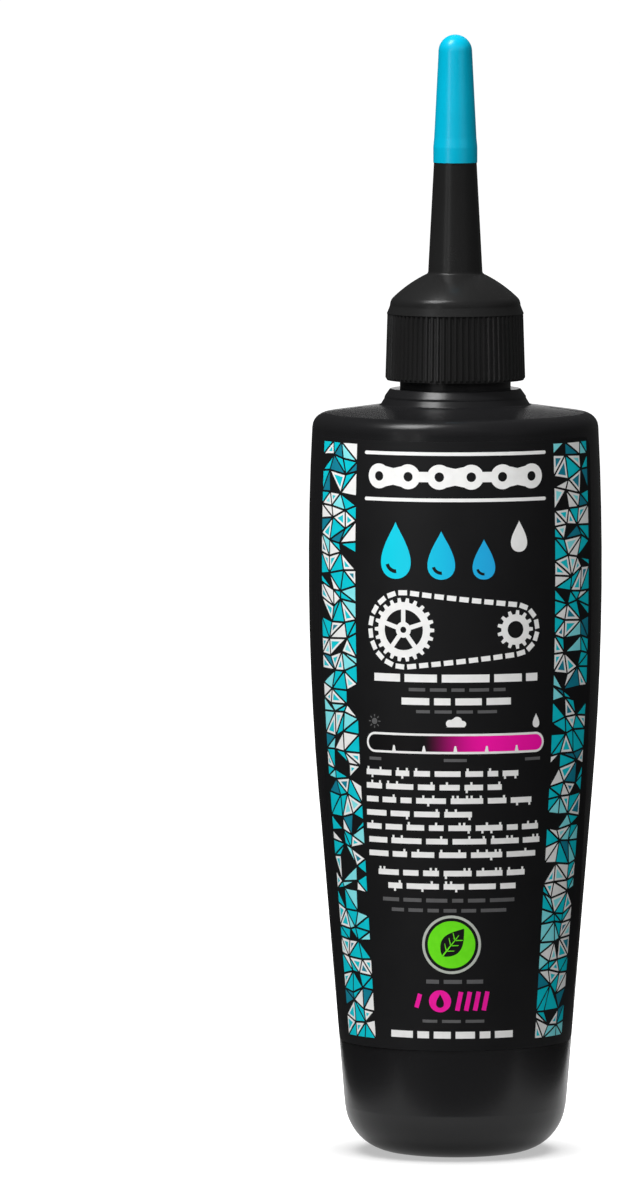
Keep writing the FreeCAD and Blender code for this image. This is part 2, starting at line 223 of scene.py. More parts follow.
film_black = moulded_plastic(
    "label_matt_black",
    dark=linear(20, 20, 21),
    pale=linear(25, 25, 26),
    cloud_size=6 * MM,
    gloss_range=(0.46, 0.56),
    shine=0.16,
    grain_size=0.2 * MM,
    grain_depth=0.006 * MM,
)
dress("label", film_black)

# Ink: screen printed on the film in a few flat colours, each a coat a few hundredths of a millimetre thick.
# Its shapes are laid out flat, in millimetres across from the front's centre line and up from the floor.

INK_LIFT = 0.02
INK_COAT = 0.012
INK_SUNK = 0.05
INK_CUT_ACROSS = 0.8
INK_CUT_UP = 3.0
INK_CUT_SNAP = 0.0001
INK_SHARP_DEG = 40
PROBE_LOW = 18.0
PROBE_STEP = 0.5
PROBE_COUNT = 192
PROBE_BEARINGS = range(-40, 41, 2)

film_surface = surface_of("label")
film_radii = []
for step in range(PROBE_COUNT):
    level = Vector((0, 0, PROBE_LOW + PROBE_STEP * step)) * MM
    reach = []
    for bearing in PROBE_BEARINGS:
        out = Vector((math.sin(math.radians(bearing)), -math.cos(math.radians(bearing)), 0))
        hit = film_surface.ray_cast(level + out, -out)[0]
        reach.append(math.hypot(hit.x, hit.y) / MM)
    film_radii.append(max(reach))


def film_radius(height):
    """The film's outside radius at a height."""
    place = min(max((height - PROBE_LOW) / PROBE_STEP, 0), PROBE_COUNT - 1)
    step = min(int(place), PROBE_COUNT - 2)
    return film_radii[step] + (film_radii[step + 1] - film_radii[step]) * (place - step)


def on_film(across, height, lift):
    """The place on the bent film of a point of the flat layout."""
    radius = film_radius(height)
    turn = across / radius
    return Vector(((radius + lift) * math.sin(turn), -(radius + lift) * math.cos(turn), height)) * MM


def screen_ink(name, first, second, gradient=None):
    """Flat ink with a little mottle and the screen's tooth; a gradient runs between two places across."""
    material = moulded_plastic(
        name,
        dark=first,
        pale=second,
        cloud_size=1.1 * MM,
        cloud_detail=3,
        gloss_range=(0.36, 0.5),
        shine=0.2,
        grain_size=0.16 * MM,
        grain_depth=0.004 * MM,
        grain_strength=0.4,
    )
    if gradient:
        nodes = material.node_tree.nodes
        links = material.node_tree.links
        axes = nodes.new("ShaderNodeSeparateXYZ")
        links.new(nodes["Texture Coordinate"].outputs["Object"], axes.inputs["Vector"])
        run = nodes.new("ShaderNodeMapRange")
        run.interpolation_type = "SMOOTHSTEP"
        run.inputs["From Min"].default_value = gradient[0] * MM
        run.inputs["From Max"].default_value = gradient[1] * MM
        links.new(axes.outputs["X"], run.inputs["Value"])
        links.new(run.outputs["Result"], nodes["Mix"].inputs["Factor"])
    return material


def print_on(name, shapes, ink, coat=0):
    """Lay flat shapes on the film as one coat of ink.

    A shape is its outline and then the outlines of its holes."""
    sheet = bmesh.new()
    for outlines in shapes:
        corners = [sheet.verts.new((across, 0, height)) for outline in outlines for across, height in outline]
        loops = [[Vector((across, height, 0)) for across, height in outline] for outline in outlines]
        for triangle in tessellate_polygon(loops):
            sheet.faces.new([corners[i] for i in triangle])
    for axis, spacing in ((0, INK_CUT_ACROSS), (2, INK_CUT_UP)):
        low = math.floor(min(vertex.co[axis] for vertex in sheet.verts) / spacing) + 1
        high = math.ceil(max(vertex.co[axis] for vertex in sheet.verts) / spacing)
        for cut in range(low, high):
            normal = Vector((0, 0, 0))
            normal[axis] = 1
            place = normal * cut * spacing
            parts = sheet.verts[:] + sheet.edges[:] + sheet.faces[:]
            bmesh.ops.bisect_plane(sheet, geom=parts, dist=INK_CUT_SNAP, plane_co=place, plane_no=normal)
    under = sheet.verts[:]
    raised = bmesh.ops.extrude_face_region(sheet, geom=sheet.faces[:], use_keep_orig=True)["geom"]
    over = [part for part in raised if isinstance(part, bmesh.types.BMVert)]
    for vertex in under:
        vertex.co = on_film(vertex.co.x, vertex.co.z, -INK_SUNK)
    for vertex in over:
        vertex.co = on_film(vertex.co.x, vertex.co.z, INK_LIFT + INK_COAT * coat)
    bmesh.ops.recalc_face_normals(sheet, faces=sheet.faces[:])
    mesh = bpy.data.meshes.new(name)
    sheet.to_mesh(mesh)
    sheet.free()
    mesh.shade_smooth()
    mesh.set_sharp_from_angle(angle=math.radians(INK_SHARP_DEG))
    return add_piece(name, mesh, ink)


ink_white = screen_ink("ink_white", linear(233, 233, 231), linear(247, 247, 246))
ink_grey = screen_ink("ink_grey", linear(84, 84, 85), linear(101, 101, 102))

# Chain heading: a pictogram of three roller chain links between two rules, at the head of the label.
# It is one coat of white ink. The plates are waisted, and the film is left open at the pins.

CHAIN_LEVEL = 108.4
CHAIN_PITCH = 5.0
CHAIN_PLATE_RADIUS = 1.95
CHAIN_PLATE_END_DEG = 125
CHAIN_PLATE_STEPS = 24
CHAIN_WAIST = 1.3
CHAIN_PIN_RADIUS = 0.75
CHAIN_BRIDGE_HALF = 0.8
CHAIN_BRIDGE_GAP = 0.02
CHAIN_RULE_RISE = 3.6
CHAIN_RULE_HALF = 15.2
CHAIN_RULE_WEIGHT = 0.55
CHAIN_RULE_ROUND = 0.49
BAR_END_STEPS = 8


def ring_of(across, height, radius, corners=40):
    """A round outline."""
    turns = [2 * math.pi * i / corners for i in range(corners)]
    return [(across + radius * math.cos(turn), height + radius * math.sin(turn)) for turn in turns]


def bar_of(left, right, low, high, end_round=0.0):
    """The outline of an upright bar, with its ends rounded where it has a radius."""
    if not end_round:
        return [(left, low), (right, low), (right, high), (left, high)]
    centres = (
        (right - end_round, low + end_round),
        (right - end_round, high - end_round),
        (left + end_round, high - end_round),
        (left + end_round, low + end_round),
    )
    outline = []
    for quarter, (across, height) in enumerate(centres):
        for step in range(BAR_END_STEPS + 1):
            turn = math.radians(90 * (quarter - 1) + 90 * step / BAR_END_STEPS)
            outline.append((across + end_round * math.cos(turn), height + end_round * math.sin(turn)))
    return outline


def plate_of(middle, height):
    """A chain plate's outline: two round ends joined by a waist."""
    half = []
    for step in range(CHAIN_PLATE_STEPS + 1):
        turn = math.radians(-CHAIN_PLATE_END_DEG + 2 * CHAIN_PLATE_END_DEG * step / CHAIN_PLATE_STEPS)
        across = CHAIN_PITCH / 2 + CHAIN_PLATE_RADIUS * math.cos(turn)
        half.append((across, CHAIN_PLATE_RADIUS * math.sin(turn)))
    right = [(middle + across, height + up) for across, up in half]
    left = [(middle - across, height - up) for across, up in half]
    waist_top = [(middle, height + CHAIN_WAIST)]
    waist_low = [(middle, height - CHAIN_WAIST)]
    return right + waist_top + left + waist_low


chain_shapes = []
for link in (-1, 0, 1):
    middle = link * 2 * CHAIN_PITCH
    outlines = [plate_of(middle, CHAIN_LEVEL)]
    for end in (-1, 1):
        outlines.append(ring_of(middle + end * CHAIN_PITCH / 2, CHAIN_LEVEL, CHAIN_PIN_RADIUS, corners=24))
    chain_shapes.append(outlines)
bridge_reach = math.sqrt(CHAIN_PLATE_RADIUS**2 - CHAIN_BRIDGE_HALF**2)
half = CHAIN_PITCH / 2 - bridge_reach - CHAIN_BRIDGE_GAP
for bridge in (-1, 1):
    middle = bridge * CHAIN_PITCH
    low = CHAIN_LEVEL - CHAIN_BRIDGE_HALF
    high = CHAIN_LEVEL + CHAIN_BRIDGE_HALF
    chain_shapes.append([bar_of(middle - half, middle + half, low, high)])
for rule in (-1, 1):
    level = CHAIN_LEVEL + rule * CHAIN_RULE_RISE
    low = level - CHAIN_RULE_WEIGHT / 2
    high = level + CHAIN_RULE_WEIGHT / 2
    end_round = CHAIN_RULE_WEIGHT * CHAIN_RULE_ROUND
    chain_shapes.append([bar_of(-CHAIN_RULE_HALF, CHAIN_RULE_HALF, low, high, end_round)])
print_on("print_chain", chain_shapes, ink_white)

# Drops: three cyan drops of oil that get smaller to the right, and a small white one after them.
# The cyan turns bluer to the right, as a split ink on the screen does.

DROP_LEVEL = 92.4
CYAN_DROPS = ((-9.6, 8.9), (-2.2, 7.6), (4.5, 6.3))
SMALL_DROP = {"across": 10.3, "low": DROP_LEVEL + 4.2, "tall": 4.9}
DROP_SPREAD = 0.4
DROP_POINT = 1.4
GLEAM_RADIUS = 0.2
GLEAM_RISE = 0.3
GLEAM_INNER = 0.66
GLEAM_START_DEG = 195
GLEAM_SWEEP_DEG = 80
GLEAM_STEPS = 10
CYAN_TO_BLUE = (-12, 8)


def drop_of(across, low, tall, corners=48):
    """A drop's outline, with its point up."""
    outline = []
    for i in range(corners):
        turn = 2 * math.pi * i / corners
        outline.append((across - DROP_SPREAD * tall * math.sin(turn) * math.sin(turn / 2) ** DROP_POINT,
                        low + tall / 2 + tall / 2 * math.cos(turn)))
    return outline


def gleam_of(across, low, tall):
    """The curved gleam left open in a drop."""
    centre = low + tall * GLEAM_RISE
    turns = []
    for step in range(GLEAM_STEPS + 1):
        turns.append(math.radians(GLEAM_START_DEG + GLEAM_SWEEP_DEG * step / GLEAM_STEPS))
    outer, inner = [
        [(across + radius * math.cos(turn), centre + radius * math.sin(turn)) for turn in turns]
        for radius in (tall * GLEAM_RADIUS, tall * GLEAM_RADIUS * GLEAM_INNER)
    ]
    return outer + inner[::-1]


ink_split_cyan = screen_ink("ink_split_cyan", linear(6, 206, 228), linear(34, 166, 224), CYAN_TO_BLUE)
cyan_drops = []
for across, tall in CYAN_DROPS:
    cyan_drops.append([drop_of(across, DROP_LEVEL, tall), gleam_of(across, DROP_LEVEL, tall)])
print_on("print_drops", cyan_drops, ink_split_cyan)
print_on("print_small_drop", [[drop_of(**SMALL_DROP)]], ink_white)

# Drive: a pictogram of a chainring and a small sprocket with the chain round both, one coat of white ink.
# The rings have square teeth, and the chain is a row of short dashes.

DRIVE_LEVEL = 84.45
CHAINRING = {"across": -8.3, "teeth": 22, "tip": 5.0, "root": 4.35, "hole": 3.2}
SPROCKET = {"across": 9.7, "teeth": 13, "tip": 3.05, "root": 2.4, "hole": 1.35}
TOOTH_CORNERS = ((-0.28, "root"), (-0.17, "tip"), (0.17, "tip"), (0.28, "root"))
HUB_RADIUS = 1.25
AXLE_RADIUS = 0.5
ARM_COUNT = 5
ARM_START = 1.22
ARM_END = 3.25
ARM_HALF = 0.36
DRIVE_CHAIN_GAP = 0.85
DRIVE_DASH = 1.45
DRIVE_DASH_GAP = 0.5
DRIVE_DASH_WEIGHT = 0.8
WRAP_LARGE_STEPS = 60
WRAP_SMALL_STEPS = 40


def toothed_ring(wheel):
    """A toothed wheel's outline and its middle hole."""
    outline = []
    for tooth in range(wheel["teeth"]):
        for share, radius in TOOTH_CORNERS:
            turn = 2 * math.pi * (tooth + share) / wheel["teeth"]
            outline.append((wheel["across"] + wheel[radius] * math.cos(turn),
                            DRIVE_LEVEL + wheel[radius] * math.sin(turn)))
    return [outline, ring_of(wheel["across"], DRIVE_LEVEL, wheel["hole"])]


def slanted_bar(start, end, half):
    """A straight bar's outline between two points."""
    run = math.hypot(end[0] - start[0], end[1] - start[1])
    side = ((start[1] - end[1]) / run * half, (end[0] - start[0]) / run * half)
    return [(start[0] - side[0], start[1] - side[1]), (end[0] - side[0], end[1] - side[1]),
            (end[0] + side[0], end[1] + side[1]), (start[0] + side[0], start[1] + side[1])]


def spoke_of(across, height, turn, inner, outer, half):
    """The outline of a straight bar that points away from a centre."""
    toward = (math.cos(turn), math.sin(turn))
    start = (across + inner * toward[0], height + inner * toward[1])
    end = (across + outer * toward[0], height + outer * toward[1])
    return slanted_bar(start, end, half)


drive_shapes = [toothed_ring(CHAINRING), toothed_ring(SPROCKET)]
hub = [ring_of(CHAINRING["across"], DRIVE_LEVEL, HUB_RADIUS)]
hub.append(ring_of(CHAINRING["across"], DRIVE_LEVEL, AXLE_RADIUS, corners=20))
drive_shapes.append(hub)
for arm in range(ARM_COUNT):
    turn = math.radians(90 + 360 / ARM_COUNT * arm)
    drive_shapes.append([spoke_of(CHAINRING["across"], DRIVE_LEVEL, turn, ARM_START, ARM_END, ARM_HALF)])

wrap_large = CHAINRING["tip"] + DRIVE_CHAIN_GAP
wrap_small = SPROCKET["tip"] + DRIVE_CHAIN_GAP
between = SPROCKET["across"] - CHAINRING["across"]
lean = math.acos((wrap_large - wrap_small) / between)
loop = []
for i in range(WRAP_LARGE_STEPS + 1):
    turn = lean + (2 * math.pi - 2 * lean) * i / WRAP_LARGE_STEPS
    across = CHAINRING["across"] + wrap_large * math.cos(turn)
    loop.append((across, DRIVE_LEVEL + wrap_large * math.sin(turn)))
for i in range(WRAP_SMALL_STEPS + 1):
    turn = -lean + 2 * lean * i / WRAP_SMALL_STEPS
    across = SPROCKET["across"] + wrap_small * math.cos(turn)
    loop.append((across, DRIVE_LEVEL + wrap_small * math.sin(turn)))
loop.append(loop[0])
lengths = [0.0]
for start, end in zip(loop, loop[1:]):
    lengths.append(lengths[-1] + math.hypot(end[0] - start[0], end[1] - start[1]))


def along_loop(length):
    """The point of the chain's loop that lies so far along it."""
    length = length % lengths[-1]
    step = next(i for i in range(len(lengths) - 1) if lengths[i + 1] >= length)
    share = (length - lengths[step]) / (lengths[step + 1] - lengths[step])
    return tuple(a + (b - a) * share for a, b in zip(loop[step], loop[step + 1]))


dash_count = round(lengths[-1] / (DRIVE_DASH + DRIVE_DASH_GAP))
dash_pitch = lengths[-1] / dash_count
for dash in range(dash_count):
    start = along_loop(dash * dash_pitch)
    end = along_loop(dash * dash_pitch + dash_pitch - DRIVE_DASH_GAP)
    drive_shapes.append([slanted_bar(start, end, DRIVE_DASH_WEIGHT / 2)])
print_on("print_drive", drive_shapes, ink_white)

# Weather gauge: a white pill outline with five ticks, filled from black to magenta as the ground gets wetter.
# A small sun, a half cloud and a drop stand over it. The ticks are a second coat on the fill.

GAUGE_LEVEL = 66.6
GAUGE_HALF = 14.9
GAUGE_HALF_HEIGHT = 1.6
GAUGE_WEIGHT = 0.36
GAUGE_END_ROUND = 0.99
BLACK_TO_MAGENTA = (-5, 5.5)
GAUGE_TICKS = (-9.9, -4.95, 0.0, 4.95, 9.9)
TICK_FOOT_HALF = 0.32
TICK_HEAD_HALF = 0.12
TICK_TALL = 0.95
TICK_OVERLAP = 0.05
GAUGE_SIGN_LEVEL = 69.9
SUN_ACROSS = -13.4
SUN_RADIUS = 0.5
SUN_RAYS = 8
SUN_RAY_START = 0.72
SUN_RAY_END = 1.08
SUN_RAY_HALF = 0.09
CLOUD_HALF = 1.5
CLOUD_DROP = 0.65
CLOUD_PUFFS = ((1.2, -0.15, 0.5, -60, 75), (0.3, 0.25, 0.75, 10, 140), (-0.85, -0.1, 0.62, 70, 235))
CLOUD_STEPS = 8
WET_DROP = {"across": 13.4, "low": GAUGE_SIGN_LEVEL - 1, "tall": 2.2}

ink_gauge = screen_ink("ink_gauge", linear(16, 15, 16), linear(250, 20, 168), BLACK_TO_MAGENTA)
pill, well = [
    bar_of(-half, half, GAUGE_LEVEL - tall, GAUGE_LEVEL + tall, tall * GAUGE_END_ROUND)
    for half, tall in ((GAUGE_HALF, GAUGE_HALF_HEIGHT),
                       (GAUGE_HALF - GAUGE_WEIGHT, GAUGE_HALF_HEIGHT - GAUGE_WEIGHT))
]
print_on("print_gauge_fill", [[well]], ink_gauge)
print_on("print_gauge_frame", [[pill, well]], ink_white)
tick_low = GAUGE_LEVEL - (GAUGE_HALF_HEIGHT - GAUGE_WEIGHT) - TICK_OVERLAP
tick_high = tick_low + TICK_TALL
tick_shapes = []
for across in GAUGE_TICKS:
    tick_shapes.append([[(across - TICK_FOOT_HALF, tick_low), (across + TICK_FOOT_HALF, tick_low),
                         (across + TICK_HEAD_HALF, tick_high), (across - TICK_HEAD_HALF, tick_high)]])
print_on("print_gauge_ticks", tick_shapes, ink_white, coat=1)
sun_shapes = [[ring_of(SUN_ACROSS, GAUGE_SIGN_LEVEL, SUN_RADIUS, corners=20)]]
for ray in range(SUN_RAYS):
    turn = math.radians(360 / SUN_RAYS * ray)
    ray_bar = spoke_of(SUN_ACROSS, GAUGE_SIGN_LEVEL, turn, SUN_RAY_START, SUN_RAY_END, SUN_RAY_HALF)
    sun_shapes.append([ray_bar])
print_on("print_sun", sun_shapes, ink_grey)
cloud = [(-CLOUD_HALF, GAUGE_SIGN_LEVEL - CLOUD_DROP), (CLOUD_HALF, GAUGE_SIGN_LEVEL - CLOUD_DROP)]
for across, up, radius, first, last in CLOUD_PUFFS:
    for step in range(CLOUD_STEPS + 1):
        turn = math.radians(first + (last - first) * step / CLOUD_STEPS)
        cloud.append((across + radius * math.cos(turn), GAUGE_SIGN_LEVEL + up + radius * math.sin(turn)))
print_on("print_cloud", [[cloud]], ink_white)
print_on("print_wet_drop", [[drop_of(**WET_DROP, corners=32)]], ink_white)

# Small print: rows of short plain bars, under the drive, under the gauge and at the label's foot.
# They are one coat of white ink and one of grey, and some of the white bars have stubs over and under them.

BAR_GAP = 0.75
BAR_HALF = 0.44
BAR_SHORTEST = 1.7
BAR_LONGEST = 5.4
BAR_LAST = 1.6
ROW_END_ROOM = 1.0
STUB_REACH = 0.42
STUB_WIDTH = 0.34
STUB_PLACE = 0.25
STUB_OVER_CHANCE = 0.24
STUB_UNDER_CHANCE = 0.1
BLOCK_TOP = 61.85
BLOCK_PITCH = 2.14
BLOCK_ENDS = ((-15.0, 10.2), (-15.0, 7.4), (-15.0, 12.6), (-15.0, 2.6),
              (-15.0, 13.9), (-14.6, 14.2), (-14.6, 13.4))

bar_draws = random.Random(11)


def stubbed_bar(left, right, level, half, stubs):
    """A bar's outline, with short stubs over and under it where they are asked for."""
    over = []
    under = []
    places = int((right - left) / (STUB_WIDTH * 2))
    for place in range(places):
        start = left + (right - left) * (place + STUB_PLACE) / places
        if stubs and bar_draws.random() < STUB_OVER_CHANCE:
            over.append(start)
        elif stubs and bar_draws.random() < STUB_UNDER_CHANCE:
            under.append(start)
    low = level - half
    high = level + half
    outline = [(left, low)]
    for start in under:
        end = start + STUB_WIDTH
        outline += [(start, low), (start, low - STUB_REACH), (end, low - STUB_REACH), (end, low)]
    outline += [(right, low), (right, high)]
    for start in reversed(over):
        end = start + STUB_WIDTH
        outline += [(end, high), (end, high + STUB_REACH), (start, high + STUB_REACH), (start, high)]
    outline.append((left, high))
    return outline


def bar_row(left, right, level, half=BAR_HALF, longest=BAR_LONGEST, stubs=False):
    """A row of bars from one place to another."""
    shapes = []
    start = left
    while right - start > ROW_END_ROOM:
        end = min(start + bar_draws.uniform(BAR_SHORTEST, longest), right)
        if right - end < BAR_LAST + BAR_GAP:
            end = right
        shapes.append([stubbed_bar(start, end, level, half, stubs)])
        start = end + BAR_GAP
    return shapes


white_rows = bar_row(-13.4, 13.6, 76.9, half=0.62, longest=8.0)
white_rows += bar_row(-8.6, 8.9, 73.25, half=0.55, longest=6.5)
for row, (left, right) in enumerate(BLOCK_ENDS):
    white_rows += bar_row(left, right, BLOCK_TOP - BLOCK_PITCH * row, stubs=True)
white_rows += bar_row(-12.8, 11.4, 46.1, stubs=True)
white_rows += bar_row(-11.0, 9.8, 44.0, stubs=True)
white_rows += bar_row(-10.6, 9.4, 20.4, half=0.55, longest=4.6)
print_on("print_white_rows", white_rows, ink_white)
grey_rows = bar_row(-7.4, 8.0, 75.1, half=0.26, longest=3.2)
grey_rows += bar_row(-6.2, 6.6, 71.65, half=0.24, longest=3.2)
for left, right in ((-14.4, -12.2), (-1.8, 1.8), (11.4, 14.2)):
    grey_rows += bar_row(left, right, 64.0, half=0.24, longest=4.0)
grey_rows += bar_row(-12.0, 9.6, 41.8, half=0.3, longest=3.4)
grey_rows += bar_row(-10.4, 8.2, 40.2, half=0.28, longest=3.4)
grey_rows += bar_row(-4.6, 4.4, 28.9, half=0.32, longest=3.0)
grey_rows += bar_row(-5.2, 4.6, 22.6, half=0.24, longest=3.0)
print_on("print_grey_rows", grey_rows, ink_grey)

# Leaf mark: a disc of lime green ink in a pale ring, with a leaf left open in it so that the film shows.
# The leaf's rib and veins are thin lines of the same coat of green.

LEAF_CENTRE = (-0.6, 34.8)
LEAF_RING_RADIUS = 4.65
LEAF_RING_WEIGHT = 0.42
LEAF_DISC_RADIUS = 3.75
LEAF_LENGTH = 5.6
LEAF_BACK_SHARE = 0.42
LEAF_BULGE = 1.65
LEAF_FULLNESS = 0.8
LEAF_TILT_DEG = 52
LEAF_STEPS = 16
RIB_START = 0.02 - LEAF_BACK_SHARE * LEAF_LENGTH
RIB_END = 1.9
RIB_START_HALF = 0.13
RIB_END_HALF = 0.05
VEIN_STARTS = (-1.2, -0.1, 0.95)
VEIN_CORNERS = ((-0.1, 0.14), (0.12, 0.14), (0.75, 0.95), (0.62, 0.97))

ink_green = screen_ink("ink_lime_green", linear(98, 224, 26), linear(120, 240, 38))
ink_pale = screen_ink("ink_pale_grey", linear(176, 182, 174), linear(196, 200, 192))


def leaf_point(along, side):
    """A place of the flat layout from the leaf's own axes."""
    tilt = math.radians(LEAF_TILT_DEG)
    return (LEAF_CENTRE[0] + along * math.cos(tilt) - side * math.sin(tilt),
            LEAF_CENTRE[1] + along * math.sin(tilt) + side * math.cos(tilt))


leaf_edge = []
for side, steps in ((1, range(0, LEAF_STEPS + 1)), (-1, range(LEAF_STEPS - 1, 0, -1))):
    for step in steps:
        share = step / LEAF_STEPS
        bulge = LEAF_BULGE * math.sin(math.pi * share**LEAF_FULLNESS)
        leaf_edge.append(leaf_point(LEAF_LENGTH * (share - LEAF_BACK_SHARE), side * bulge))
leaf_shapes = [[ring_of(*LEAF_CENTRE, LEAF_DISC_RADIUS, corners=64), leaf_edge]]
leaf_shapes.append([[leaf_point(RIB_START, RIB_START_HALF), leaf_point(RIB_START, -RIB_START_HALF),
                     leaf_point(RIB_END, -RIB_END_HALF), leaf_point(RIB_END, RIB_END_HALF)]])
for side in (-1, 1):
    for start in VEIN_STARTS:
        leaf_shapes.append([[leaf_point(start + along, side * out) for along, out in VEIN_CORNERS]])
print_on("print_leaf", leaf_shapes, ink_green)
pale_ring = [ring_of(*LEAF_CENTRE, LEAF_RING_RADIUS, corners=64)]
pale_ring.append(ring_of(*LEAF_CENTRE, LEAF_RING_RADIUS - LEAF_RING_WEIGHT, corners=64))
print_on("print_leaf_ring", [pale_ring], ink_pale)

# Magenta mark: a disc with a drop left open in it, and slanted strokes beside it.
# It is a coat of the label's second bright ink, under the leaf mark.

MARK_LEVEL = 25.8
MARK_ACROSS = -2.4
MARK_RADIUS = 1.75
MARK_DROP = {"across": MARK_ACROSS, "low": MARK_LEVEL - 1.05, "tall": 2.2}
MARK_STROKES = ((-5.9, 1.1), (0.6, 1.5), (2.0, 1.5), (3.4, 1.5), (4.8, 1.5))
STROKE_LEAN = 0.3
STROKE_HALF = 0.36

ink_magenta = screen_ink("ink_magenta", linear(238, 20, 154), linear(250, 36, 170))
mark_shapes = [[ring_of(MARK_ACROSS, MARK_LEVEL, MARK_RADIUS), drop_of(**MARK_DROP, corners=28)]]
for across, tall in MARK_STROKES:
    foot = (across - STROKE_LEAN, MARK_LEVEL - tall)
    head = (across + STROKE_LEAN, MARK_LEVEL + tall)
    mark_shapes.append([slanted_bar(foot, head, STROKE_HALF)])
print_on("print_mark", mark_shapes, ink_magenta)

# Side bands: shards of cyan, teal and white ink down both edges of the label, like splintered ice.
# They follow the bottle's taper, so they get narrower towards the foot, and the film shows between them.

BAND_INNER = 17.0
BAND_OUTER = 26.2
BAND_LOW = 19.2
BAND_HIGH = 113.4
BAND_ROW = 2.55
BAND_COLUMNS = 3
BAND_JITTER_ACROSS = 0.95
BAND_JITTER_UP = 0.85
BAND_GAP = 0.17
BAND_OUTLINE = 0.34
BAND_OUTLINED_SHARE = 0.42
BAND_ROOM = 1.6
BAND_REFERENCE_RADIUS = 23.2
BAND_MIX = {-1: (("cyan", 0.46), ("pale_cyan", 0.62), ("white", 0.72), ("teal", 0.82)),
            1: (("cyan", 0.46), ("pale_cyan", 0.63), ("white", 0.75), ("teal", 0.87))}
BAND_INKS = {
    "white": ink_white,
    "cyan": screen_ink("ink_cyan", linear(2, 190, 206), linear(20, 208, 220)),
    "pale_cyan": screen_ink("ink_pale_cyan", linear(118, 224, 232), linear(148, 236, 240)),
    "teal": screen_ink("ink_teal", linear(14, 118, 142), linear(26, 138, 160)),
}

shards = random.Random(29)


def inset_triangle(corners, gap):
    """A triangle moved in from its three sides, or nothing where no room is left."""
    (ax, ay), (bx, by), (cx, cy) = corners
    a = math.hypot(bx - cx, by - cy)
    b = math.hypot(cx - ax, cy - ay)
    c = math.hypot(ax - bx, ay - by)
    area = abs((bx - ax) * (cy - ay) - (cx - ax) * (by - ay)) / 2
    inner = 2 * area / (a + b + c)
    if inner < gap * BAND_ROOM:
        return None
    centre = ((a * ax + b * bx + c * cx) / (a + b + c), (a * ay + b * by + c * cy) / (a + b + c))
    keep = 1 - gap / inner
    return [(centre[0] + (x - centre[0]) * keep, centre[1] + (y - centre[1]) * keep) for x, y in corners]


def tapered(outline):
    """Narrow an outline with the bottle, so that its sides keep their bearing."""
    return [(across * film_radius(height) / BAND_REFERENCE_RADIUS, height) for across, height in outline]


band_shapes = {colour: [] for colour in BAND_INKS}
rows = round((BAND_HIGH - BAND_LOW) / BAND_ROW)
for side in (-1, 1):
    grid = []
    for row in range(rows + 1):
        line = []
        for column in range(BAND_COLUMNS + 1):
            across = BAND_INNER + (BAND_OUTER - BAND_INNER) * column / BAND_COLUMNS
            height = BAND_LOW + (BAND_HIGH - BAND_LOW) * row / rows
            if 0 < column < BAND_COLUMNS:
                across += shards.uniform(-BAND_JITTER_ACROSS, BAND_JITTER_ACROSS)
            if 0 < row < rows:
                height += shards.uniform(-BAND_JITTER_UP, BAND_JITTER_UP)
            line.append((side * across, height))
        grid.append(line)
    for row in range(rows):
        for column in range(BAND_COLUMNS):
            low_in, low_out = grid[row][column], grid[row][column + 1]
            high_in, high_out = grid[row + 1][column], grid[row + 1][column + 1]
            if shards.random() < 0.5:
                pair = ((low_in, low_out, high_out), (low_in, high_out, high_in))
            else:
                pair = ((low_in, low_out, high_in), (low_out, high_out, high_in))
            for corners in pair:
                draw = shards.random()
                shard = inset_triangle(corners, BAND_GAP)
                colour = next((name for name, limit in BAND_MIX[side] if draw < limit), None)
                if not shard or not colour:
                    continue
                heart = inset_triangle(shard, BAND_OUTLINE)
                if heart and colour != "white" and shards.random() < BAND_OUTLINED_SHARE:
                    band_shapes["white"].append([tapered(shard), tapered(heart)])
                    band_shapes[colour].append([tapered(heart)])
                else:
                    band_shapes[colour].append([tapered(shard)])
for colour, shapes in band_shapes.items():
    print_on(f"print_band_{colour}", shapes, BAND_INKS[colour])

# Cap liner: a washer of white polyethylene foam that seals the cap on the neck's rim.
# It is punched from sheet, and only its edge can be seen when the cap is unscrewed.

liner_white = moulded_plastic(
    "liner_white_foam",
    dark=linear(205, 204, 198),
    pale=linear(232, 231, 226),
    cloud_size=1.5 * MM,
    gloss_range=(0.75, 0.9),
    shine=0.3,
    grain_size=0.25 * MM,
    grain_depth=0.05 * MM,
)
dress("cap_liner", liner_white)

# Spout cap: one moulding of black polypropylene, with grip ribs, a dome and a spout, screwed on the neck.
# Its mould was spark eroded, so it is satin, and it is a little paler than the bottle.

cap_black = moulded_plastic(
    "cap_satin_black",
    dark=linear(25, 25, 25),
    pale=linear(31, 31, 31),
    cloud_size=9 * MM,
    gloss_range=(0.2, 0.26),
    shine=0.45,
    grain_size=0.28 * MM,
    grain_depth=0.008 * MM,
)
dress("spout_cap", cap_black)

# Tip cover: a closed cone of cyan polyethylene that slips over the nozzle and keeps the drip tip clean.
# It is moulded, soft and smooth, a little duller than the cap, and coloured right through.

cover_cyan = moulded_plastic(
    "cover_smooth_cyan",
    dark=linear(0, 160, 190),
    pale=linear(1, 174, 206),
    cloud_size=7 * MM,
    gloss_range=(0.26, 0.34),
    shine=0.22,
    grain_size=0.6 * MM,
    grain_depth=0.01 * MM,
)
dress("tip_cover", cover_cyan)

# Studio: a round white paper floor with a low wall far off, soft lamps in front, above and behind, and a dim
# room. A slim lamp on the left and dark cards at the sides, in front and at the foot are seen only by the
# gloss: they give the spout its sheen and keep the black edges dark. The camera looks slightly down.

PHOTO_WIDTH = 620
PHOTO_HEIGHT = 1200
AXIS_PIXEL = (455.3, 596.25)
LOOK_AT = Vector((0, 0, 88 * MM))
CAMERA_DISTANCE = 1.8
CAMERA_RISE = math.radians(4.5)
MM_PER_PIXEL = 0.158
SENSOR_WIDTH = 36
VIEW_END = 30

